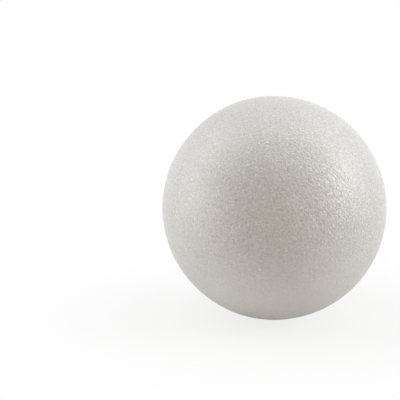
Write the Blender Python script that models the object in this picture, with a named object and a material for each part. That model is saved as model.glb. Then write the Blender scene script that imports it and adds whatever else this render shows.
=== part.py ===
"""Polystyrene ball for craft work: one solid ball of white foam.

Metres, +Z up. The origin is the ball's centre. The ball touches a table at a single point,
straight below its centre, which the empty rest_point marks.
"""

import bpy

# Driving dimension
BALL_DIAMETER = 0.100

BALL_RADIUS = BALL_DIAMETER / 2

# The ball starts as an icosahedron, and each level cuts every triangle into four. Level 5 has
# 5120 even facets, whose middles lie about 0.1 % of the radius inside the true sphere. It also
# has a corner on each axis, so the model is exactly one diameter long, deep and high.
FACET_LEVEL = 5

FOAM_COLOUR = (0.80, 0.79, 0.76, 1.0)
FOAM_ROUGHNESS = 0.55


def clear_scene():
    """Removes whatever the startup file holds."""
    for obj in list(bpy.data.objects):
        bpy.data.objects.remove(obj)


def new_collection(name):
    """A collection of that name in the scene."""
    collection = bpy.data.collections.new(name)
    bpy.context.scene.collection.children.link(collection)
    return collection


def foam_material():
    """White foam: matt, with the slight gloss of its clear cell walls."""
    material = bpy.data.materials.new("white_foam")
    material.use_nodes = True
    shader = material.node_tree.nodes["Principled BSDF"]
    shader.inputs["Base Color"].default_value = FOAM_COLOUR
    shader.inputs["Roughness"].default_value = FOAM_ROUGHNESS
    shader.inputs["Metallic"].default_value = 0.0
    material.diffuse_color = FOAM_COLOUR
    return material


def foam_ball(collection, material):
    """The ball: solid foam right through, with no seam, flat, core or hole."""
    bpy.ops.mesh.primitive_ico_sphere_add(subdivisions=FACET_LEVEL, radius=BALL_RADIUS)
    ball = bpy.context.active_object
    ball.name = "polystyrene_ball"
    ball.data.name = "polystyrene_ball"
    ball.data.materials.append(material)
    ball.data.shade_smooth()
    for other in list(ball.users_collection):
        other.objects.unlink(ball)
    collection.objects.link(ball)
    return ball


def rest_point(collection, ball):
    """An empty where the ball touches the table, carried by the ball."""
    point = bpy.data.objects.new("rest_point", None)
    point.empty_display_type = "PLAIN_AXES"
    point.empty_display_size = BALL_RADIUS / 4
    point.location = (0.0, 0.0, -BALL_RADIUS)
    point.parent = ball
    collection.objects.link(point)
    return point


def main():
    clear_scene()
    collection = new_collection("polystyrene_ball")
    ball = foam_ball(collection, foam_material())
    rest_point(collection, ball)


main()
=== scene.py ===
"""Looks of the polystyrene ball: its grainy foam surface, lit as in the photograph.

Metres, +Z up. The ball's centre is the origin, and it touches the floor straight below.
"""

import math

import bmesh
import bpy
import numpy as np
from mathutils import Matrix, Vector, noise


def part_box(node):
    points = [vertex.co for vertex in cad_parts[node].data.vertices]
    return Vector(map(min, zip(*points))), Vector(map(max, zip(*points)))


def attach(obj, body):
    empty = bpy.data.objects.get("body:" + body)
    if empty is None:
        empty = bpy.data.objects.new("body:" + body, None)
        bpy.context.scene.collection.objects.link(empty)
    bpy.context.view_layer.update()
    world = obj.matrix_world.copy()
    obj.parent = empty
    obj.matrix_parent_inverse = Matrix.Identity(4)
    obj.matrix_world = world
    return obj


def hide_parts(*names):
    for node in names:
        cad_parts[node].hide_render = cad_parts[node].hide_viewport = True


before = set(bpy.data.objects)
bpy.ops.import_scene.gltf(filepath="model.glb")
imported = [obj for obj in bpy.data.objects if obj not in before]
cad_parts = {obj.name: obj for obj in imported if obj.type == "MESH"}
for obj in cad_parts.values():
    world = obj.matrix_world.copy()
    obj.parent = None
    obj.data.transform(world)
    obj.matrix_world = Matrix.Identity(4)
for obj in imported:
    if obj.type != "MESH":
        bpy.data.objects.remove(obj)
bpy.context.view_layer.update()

MM = 0.001

# The ball, from the frame
BALL_LOW, BALL_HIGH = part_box("polystyrene_ball")
BALL_RADIUS = (BALL_HIGH[0] - BALL_LOW[0]) / 2
FLOOR_HEIGHT = BALL_LOW[2]

# The photograph: a square of 400 pixels, and where the ball lies in it
IMAGE_SIZE_PX = 400
BALL_CENTRE_PX = (274.05, 207.8)
BALL_RADIUS_PX = 111.9
CAMERA_PITCH = math.radians(12)
SENSOR_WIDTH_MM = 36
LENS_MM = 125.8

# Skin mesh: squares along each edge of the cube that it is drawn on
SQUARES_PER_SIDE = 128

# Relief of the skin: wavelength or pitch, then height, all in millimetres
LUMP_SIZE_MM = 45.0
LUMP_HEIGHT_MM = 0.25
CELL_PITCH_MM = 2.4
CELL_HEIGHT_MM = 0.015
# A cell rises from its wall inwards for this share of its pitch, and is flat from there on
CELL_RISE = 0.5
FLAKE_SIZE_MM = 1.9
FLAKE_HEIGHT_MM = 0.02
# The flakes' noise is taken elsewhere than the lumps', so that the two don't line up
FLAKE_SHIFT = Vector((7, 3, 5))

# Finer grain, as bump
WRINKLE_SIZE = 0.88 * MM
WRINKLE_HEIGHT = 0.28 * MM
WRINKLE_DETAIL = 1.0
# The fine grain is drawn out along one slant, which falls to the right as seen from the front
GRAIN_SLANT = math.radians(45)
WRINKLE_STRETCH = 1.5
PIT_STRETCH = 1.4
FACET_PITCH = 0.8 * MM
FACET_TILT = 0.12
MATT_ROUGHNESS = 0.5
SKIN_ROUGHNESS = 0.6
COAT_WEIGHT = 1.0
COAT_ROUGHNESS = 0.4
COAT_IOR = 1.5
# The gloss fades to nothing where the skin is seen edge-on, as its cells hide one another there
GLOSS_FADE = (0.3, 0.72)
EDGE_GLOSS = 0.0
SPECULAR_LEVEL = 0.4

# Lamps: azimuth, elevation, size in metres, watts, colour, distance in metres
NEAR = 0.32
FAR = 1.2
RIGHT_LOW = (84, 22, (0.55, 0.6), 8.9, (1, 1, 1), FAR)
RIGHT_HIGH = (104, 48, (0.28, 0.26), 0.308, (1, 1, 1), NEAR)
LEFT_LOW = (-80, 5, (0.21, 0.15), 0.29, (1, 1, 1), NEAR)
LEFT_MIDDLE = (-104, 35, (0.28, 0.26), 0.332, (1, 1, 1), NEAR)
LEFT_HIGH = (-90, 62, (0.3, 0.3), 0.314, (1, 1, 1), NEAR)
OVERHEAD = (90, 82, (0.3, 0.3), 0.232, (1, 1, 1), NEAR)
FRONT_FILL = (0, 8, (0.6, 0.6), 1.94, (1.0, 0.7, 0.42), FAR)
WORLD_LIGHT = 0.02

# Colours
FOAM_COLOUR = (0.756, 0.757, 0.744, 1)
FOAM_SHADE = (0.729, 0.730, 0.718, 1)
SHADE_SIZE = 12 * MM
SHADE_DETAIL = 3
# Painted pit shade and glint: fine slanted noise makes the colour darker and lighter, standing for the
# pits' shade and the glint of their walls
PIT_SIZE = 0.6 * MM
PAINTED_PIT_SHADE_RANGE = 0.38
# The noise values between which the painted pit shade goes from its darkest to its lightest
PIT_NOISE = (0.3, 0.7)
# Painted glints: sparse small dots where the colour is made lighter
PAINTED_GLINT_PITCH = 1.7 * MM
PAINTED_GLINT_RADIUS = 0.4
PAINTED_GLINT_SHARE = 0.22
PAINTED_GLINT_LIGHT = 0.4
# The colour with its painted shade and glints is at most this many times its own
BRIGHTEST_PAINTED_LIGHT = 1.25

# The painted pit shade and painted glints in the colour grow from this share of their strength, low on
# the ball, to all of it higher up, all the way round
LOW_PAINTED_SHADE = 0.3
PAINTED_SHADE_HEIGHTS = (-0.7 * BALL_RADIUS, 0.1 * BALL_RADIUS)

# Floor, in metres. As the camera sees it, it goes from SHADOW_WHITENESS under the ball to all
# white, over the distances in SHADOW_REACH, so some of the shadow stays
FLOOR_WIDTH = 8
FLOOR_COLOUR = (0.84, 0.835, 0.825, 1)
SHADOW_REACH = (0.02, 0.14)
SHADOW_WHITENESS = 0.8
WHITE = (1, 1, 1, 1)


def look_direction():
    """The camera looks along +Y and down by its pitch."""
    return Vector((0, math.cos(CAMERA_PITCH), -math.sin(CAMERA_PITCH)))


def make_camera():
    """The camera that puts the ball where the photograph has it, at the photograph's size."""
    focal_px = LENS_MM * IMAGE_SIZE_PX / SENSOR_WIDTH_MM
    depth = BALL_RADIUS * math.sqrt(1 + (focal_px / BALL_RADIUS_PX) ** 2)
    forward = look_direction()
    right = Vector((1, 0, 0))
    up = right.cross(forward)
    across = (BALL_CENTRE_PX[0] - IMAGE_SIZE_PX / 2) * depth / focal_px
    down = (BALL_CENTRE_PX[1] - IMAGE_SIZE_PX / 2) * depth / focal_px
    camera = bpy.data.objects.new("camera", bpy.data.cameras.new("camera"))
    camera.data.sensor_width = SENSOR_WIDTH_MM
    camera.data.lens = LENS_MM
    camera.location = up * down - right * across - forward * depth
    camera.rotation_euler = forward.to_track_quat("-Z", "Y").to_euler()
    bpy.context.scene.collection.objects.link(camera)
    bpy.context.scene.camera = camera


def soft_lamp(name, azimuth, elevation, size, energy, colour, distance):
    """A soft box aimed at the ball. Azimuth 0 is the camera's side, and 90 the ball's right."""
    a, e = math.radians(azimuth), math.radians(elevation)
    direction = Vector((math.sin(a) * math.cos(e), -math.cos(a) * math.cos(e), math.sin(e)))
    lamp = bpy.data.objects.new(name, bpy.data.lights.new(name, "AREA"))
    lamp.data.shape = "RECTANGLE"
    lamp.data.size, lamp.data.size_y = size
    lamp.data.energy = energy
    lamp.data.color = colour
    lamp.location = direction * distance
    lamp.rotation_euler = direction.to_track_quat("Z", "Y").to_euler()
    lamp.visible_camera = False
    bpy.context.scene.collection.objects.link(lamp)


def make_lamps():
    """Soft boxes on both sides and overhead, and a weak warm fill from the front."""
    soft_lamp("right_low_box", *RIGHT_LOW)
    soft_lamp("right_high_box", *RIGHT_HIGH)
    soft_lamp("left_low_box", *LEFT_LOW)
    soft_lamp("left_middle_box", *LEFT_MIDDLE)
    soft_lamp("left_high_box", *LEFT_HIGH)
    soft_lamp("overhead_box", *OVERHEAD)
    soft_lamp("front_fill", *FRONT_FILL)


def seen_directly(tree):
    """1 for what the camera sees, itself or in gloss or glass, and 0 for light that falls on things."""
    rays = tree.nodes.new("ShaderNodeLightPath")
    glossy = tree.nodes.new("ShaderNodeMath")
    glossy.operation = "MAXIMUM"
    tree.links.new(rays.outputs["Is Camera Ray"], glossy.inputs[0])
    tree.links.new(rays.outputs["Is Glossy Ray"], glossy.inputs[1])
    total = tree.nodes.new("ShaderNodeMath")
    total.operation = "MAXIMUM"
    tree.links.new(glossy.outputs[0], total.inputs[0])
    tree.links.new(rays.outputs["Is Transmission Ray"], total.inputs[1])
    return total.outputs[0]


def make_world():
    """White where the camera sees it, and a weak even light on the object."""
    world = bpy.data.worlds.new("studio")
    bpy.context.scene.world = world
    world.use_nodes = True
    tree = world.node_tree
    background = tree.nodes["Background"]
    background.inputs["Color"].default_value = WHITE
    strength = tree.nodes.new("ShaderNodeMapRange")
    strength.inputs["To Min"].default_value = WORLD_LIGHT
    strength.inputs["To Max"].default_value = 1.0
    tree.links.new(seen_directly(tree), strength.inputs["Value"])
    tree.links.new(strength.outputs["Result"], background.inputs["Strength"])


def floor_material():
    """Pale and matt, white to the camera, with part of the ball's shadow kept."""
    material = bpy.data.materials.new("studio_floor")
    material.use_nodes = True
    tree = material.node_tree
    nodes, links = tree.nodes, tree.links
    nodes.clear()
    output = nodes.new("ShaderNodeOutputMaterial")
    matt = nodes.new("ShaderNodeBsdfDiffuse")
    matt.inputs["Color"].default_value = FLOOR_COLOUR
    white = nodes.new("ShaderNodeEmission")
    white.inputs["Color"].default_value = WHITE
    white.inputs["Strength"].default_value = 1.0
    place = nodes.new("ShaderNodeTexCoord")
    distance = nodes.new("ShaderNodeVectorMath")
    distance.operation = "LENGTH"
    links.new(place.outputs["Object"], distance.inputs[0])
    whiteness = nodes.new("ShaderNodeMapRange")
    whiteness.interpolation_type = "SMOOTHSTEP"
    whiteness.inputs["From Min"].default_value = SHADOW_REACH[0]
    whiteness.inputs["From Max"].default_value = SHADOW_REACH[1]
    whiteness.inputs["To Min"].default_value = SHADOW_WHITENESS
    whiteness.inputs["To Max"].default_value = 1.0
    links.new(distance.outputs["Value"], whiteness.inputs["Value"])
    share = nodes.new("ShaderNodeMath")
    share.operation = "MULTIPLY"
    links.new(whiteness.outputs["Result"], share.inputs[0])
    links.new(seen_directly(tree), share.inputs[1])
    mix = nodes.new("ShaderNodeMixShader")
    links.new(share.outputs[0], mix.inputs["Fac"])
    links.new(matt.outputs[0], mix.inputs[1])
    links.new(white.outputs[0], mix.inputs[2])
    links.new(mix.outputs[0], output.inputs["Surface"])
    return material


def make_floor():
    """A wide plain floor under the ball."""
    bpy.ops.mesh.primitive_plane_add(size=FLOOR_WIDTH, location=(0, 0, FLOOR_HEIGHT))
    floor = bpy.context.active_object
    floor.name = "studio_floor"
    floor.data.materials.append(floor_material())


def relief_mm(point):
    """Height of the skin over the true sphere, in millimetres, at a point given in millimetres."""
    lumps = noise.noise(point / LUMP_SIZE_MM) * LUMP_HEIGHT_MM
    near, second = noise.voronoi(point / CELL_PITCH_MM)[0][:2]
    rise = min(second - near, CELL_RISE) / CELL_RISE
    cells = (rise - 0.5) * CELL_HEIGHT_MM
    flakes = noise.noise(point / FLAKE_SIZE_MM + FLAKE_SHIFT) * FLAKE_HEIGHT_MM
    return lumps + cells + flakes


def skin_mesh():
    """A sphere drawn on an evenly divided cube, so its squares are alike, with the foam's relief."""
    shape = bmesh.new()
    bmesh.ops.create_cube(shape, size=2)
    bmesh.ops.subdivide_edges(shape, edges=shape.edges[:], cuts=SQUARES_PER_SIDE - 1, use_grid_fill=True)
    mesh = bpy.data.meshes.new("foam_ball")
    shape.to_mesh(mesh)
    shape.free()
    points = np.empty(len(mesh.vertices) * 3)
    mesh.vertices.foreach_get("co", points)
    points = np.tan(points.reshape(-1, 3) * math.pi / 4)
    points /= np.linalg.norm(points, axis=1)[:, None]
    radius_mm = BALL_RADIUS / MM
    heights = np.array([relief_mm(Vector(direction * radius_mm)) for direction in points])
    points *= (radius_mm + heights)[:, None] * MM
    mesh.vertices.foreach_set("co", points.ravel())
    mesh.shade_smooth()
    mesh.update()
    return mesh


def math_node(tree, operation, *inputs):
    """A maths node of links and numbers, as an output."""
    node = tree.nodes.new("ShaderNodeMath")
    node.operation = operation
    for socket, value in zip(node.inputs, inputs):
        if isinstance(value, bpy.types.NodeSocket):
            tree.links.new(value, socket)
        else:
            socket.default_value = value
    return node.outputs[0]


def vector_node(tree, operation, *inputs):
    """A vector maths node of links and vectors, as the node."""
    node = tree.nodes.new("ShaderNodeVectorMath")
    node.operation = operation
    for socket, value in zip(node.inputs, inputs):
        if isinstance(value, bpy.types.NodeSocket):
            tree.links.new(value, socket)
        else:
            socket.default_value = value
    return node


def slanted(tree, place, stretch):
    """Coordinates in which a texture comes out longer along the grain's slant."""
    node = tree.nodes.new("ShaderNodeMapping")
    node.vector_type = "TEXTURE"
    node.inputs["Rotation"].default_value = (0, GRAIN_SLANT, 0)
    node.inputs["Scale"].default_value = (stretch, 1, 1)
    tree.links.new(place, node.inputs["Vector"])
    return node.outputs["Vector"]


def noise_node(tree, place, size, detail=2.0):
    """Smooth noise whose features are about as large as size."""
    node = tree.nodes.new("ShaderNodeTexNoise")
    node.inputs["Scale"].default_value = 1 / size
    node.inputs["Detail"].default_value = detail
    tree.links.new(place, node.inputs["Vector"])
    return node


def facet_height(tree, place):
    """Flat cell walls, each tilted its own way: height over the skin, in metres."""
    cell = tree.nodes.new("ShaderNodeTexVoronoi")
    cell.inputs["Scale"].default_value = 1 / FACET_PITCH
    tree.links.new(place, cell.inputs["Vector"])
    offset = vector_node(tree, "SUBTRACT", place, cell.outputs["Position"])
    tilt = vector_node(tree, "MULTIPLY_ADD", cell.outputs["Color"], (2, 2, 2), (-1, -1, -1))
    height = vector_node(tree, "DOT_PRODUCT", offset.outputs["Vector"], tilt.outputs["Vector"])
    return math_node(tree, "MULTIPLY", height.outputs["Value"], FACET_TILT)


def painted_glint_dots(tree, place):
    """Painted glints: sparse small bright dots, 1 in the middle of a dot and 0 between them."""
    cell = tree.nodes.new("ShaderNodeTexVoronoi")
    cell.inputs["Scale"].default_value = 1 / PAINTED_GLINT_PITCH
    tree.links.new(place, cell.inputs["Vector"])
    dot = tree.nodes.new("ShaderNodeMapRange")
    dot.interpolation_type = "SMOOTHSTEP"
    dot.inputs["From Min"].default_value = PAINTED_GLINT_RADIUS
    dot.inputs["From Max"].default_value = 0
    tree.links.new(cell.outputs["Distance"], dot.inputs["Value"])
    chance = tree.nodes.new("ShaderNodeSeparateColor")
    tree.links.new(cell.outputs["Color"], chance.inputs["Color"])
    chosen = math_node(tree, "LESS_THAN", chance.outputs["Red"], PAINTED_GLINT_SHARE)
    return math_node(tree, "MULTIPLY", dot.outputs["Result"], chosen)


def painted_shade_strength(tree, place):
    """How strong the painted shade and glints in the colour are, by height on the ball."""
    parts = tree.nodes.new("ShaderNodeSeparateXYZ")
    tree.links.new(place, parts.inputs["Vector"])
    strength = tree.nodes.new("ShaderNodeMapRange")
    strength.interpolation_type = "SMOOTHSTEP"
    strength.inputs["From Min"].default_value = PAINTED_SHADE_HEIGHTS[0]
    strength.inputs["From Max"].default_value = PAINTED_SHADE_HEIGHTS[1]
    strength.inputs["To Min"].default_value = LOW_PAINTED_SHADE
    tree.links.new(parts.outputs["Z"], strength.inputs["Value"])
    return strength.outputs["Result"]


def coat_strength(tree):
    """How glossy the skin is: fully where it is seen face-on, and not at all edge-on."""
    angle = tree.nodes.new("ShaderNodeLayerWeight")
    fade = tree.nodes.new("ShaderNodeMapRange")
    fade.interpolation_type = "SMOOTHSTEP"
    fade.inputs["From Min"].default_value = GLOSS_FADE[0]
    fade.inputs["From Max"].default_value = GLOSS_FADE[1]
    fade.inputs["To Min"].default_value = COAT_WEIGHT
    fade.inputs["To Max"].default_value = EDGE_GLOSS
    tree.links.new(angle.outputs["Facing"], fade.inputs["Value"])
    return fade.outputs["Result"]


def foam_material():
    """White foam: matt under a thin soft gloss, with painted pit shade and painted glints in its colour,
    and fine wrinkles.
    """
    material = bpy.data.materials.new("white_foam")
    material.use_nodes = True
    tree = material.node_tree
    nodes, links = tree.nodes, tree.links
    shader = nodes["Principled BSDF"]
    shader.inputs["Specular IOR Level"].default_value = SPECULAR_LEVEL
    place = nodes.new("ShaderNodeTexCoord").outputs["Object"]

    patches = noise_node(tree, place, SHADE_SIZE, SHADE_DETAIL)
    colour = nodes.new("ShaderNodeMix")
    colour.data_type = "RGBA"
    colour.inputs["A"].default_value = FOAM_SHADE
    colour.inputs["B"].default_value = FOAM_COLOUR
    links.new(patches.outputs["Fac"], colour.inputs["Factor"])
    # How strong the painted shade and glints are, by height on the ball
    strength = painted_shade_strength(tree, place)
    # Painted pit shade and glint in the colour, from fine slanted noise
    painted_pit_shade = nodes.new("ShaderNodeMapRange")
    painted_pit_shade.inputs["From Min"].default_value = PIT_NOISE[0]
    painted_pit_shade.inputs["From Max"].default_value = PIT_NOISE[1]
    painted_pit_shade.inputs["To Min"].default_value = -PAINTED_PIT_SHADE_RANGE / 2
    painted_pit_shade.inputs["To Max"].default_value = PAINTED_PIT_SHADE_RANGE / 2
    pit_noise = noise_node(tree, slanted(tree, place, PIT_STRETCH), PIT_SIZE)
    links.new(pit_noise.outputs["Fac"], painted_pit_shade.inputs["Value"])
    # Painted glints as light dots in the colour, added to the painted pit shade
    painted_glints = painted_glint_dots(tree, place)
    painted_shade_and_glints = math_node(tree, "MULTIPLY_ADD", painted_glints, PAINTED_GLINT_LIGHT, painted_pit_shade.outputs["Result"])
    # The colour takes the painted pit shade and painted glints, weaker low on the ball and capped at the
    # brightest
    painted_light_and_shade = math_node(tree, "MULTIPLY_ADD", painted_shade_and_glints, strength, 1.0)
    light = math_node(tree, "MINIMUM", painted_light_and_shade, BRIGHTEST_PAINTED_LIGHT)
    colour_with_painted_shade = vector_node(tree, "MULTIPLY", colour.outputs["Result"], light)
    links.new(colour_with_painted_shade.outputs["Vector"], shader.inputs["Base Color"])

    wrinkle_place = slanted(tree, place, WRINKLE_STRETCH)
    wrinkles = noise_node(tree, wrinkle_place, WRINKLE_SIZE, WRINKLE_DETAIL)
    wrinkle_height = math_node(tree, "MULTIPLY", wrinkles.outputs["Fac"], WRINKLE_HEIGHT)
    relief = math_node(tree, "ADD", wrinkle_height, facet_height(tree, place))
    bump = nodes.new("ShaderNodeBump")
    bump.inputs["Distance"].default_value = 1
    links.new(relief, bump.inputs["Height"])
    links.new(bump.outputs["Normal"], shader.inputs["Normal"])
    links.new(bump.outputs["Normal"], shader.inputs["Coat Normal"])
    links.new(coat_strength(tree), shader.inputs["Coat Weight"])
    shader.inputs["Coat Roughness"].default_value = COAT_ROUGHNESS
    shader.inputs["Coat IOR"].default_value = COAT_IOR
    shader.inputs["Roughness"].default_value = SKIN_ROUGHNESS
    shader.inputs["Diffuse Roughness"].default_value = MATT_ROUGHNESS
    return material


def make_ball():
    """The ball's visible skin, which rides on the one body and stands for the CAD solid."""
    ball = bpy.data.objects.new("foam_ball", skin_mesh())
    bpy.context.scene.collection.objects.link(ball)
    ball.data.materials.append(foam_material())
    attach(ball, "root")
    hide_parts("polystyrene_ball")


bpy.context.scene.view_settings.view_transform = "Standard"
make_camera()
make_world()
make_lamps()
make_floor()
make_ball()
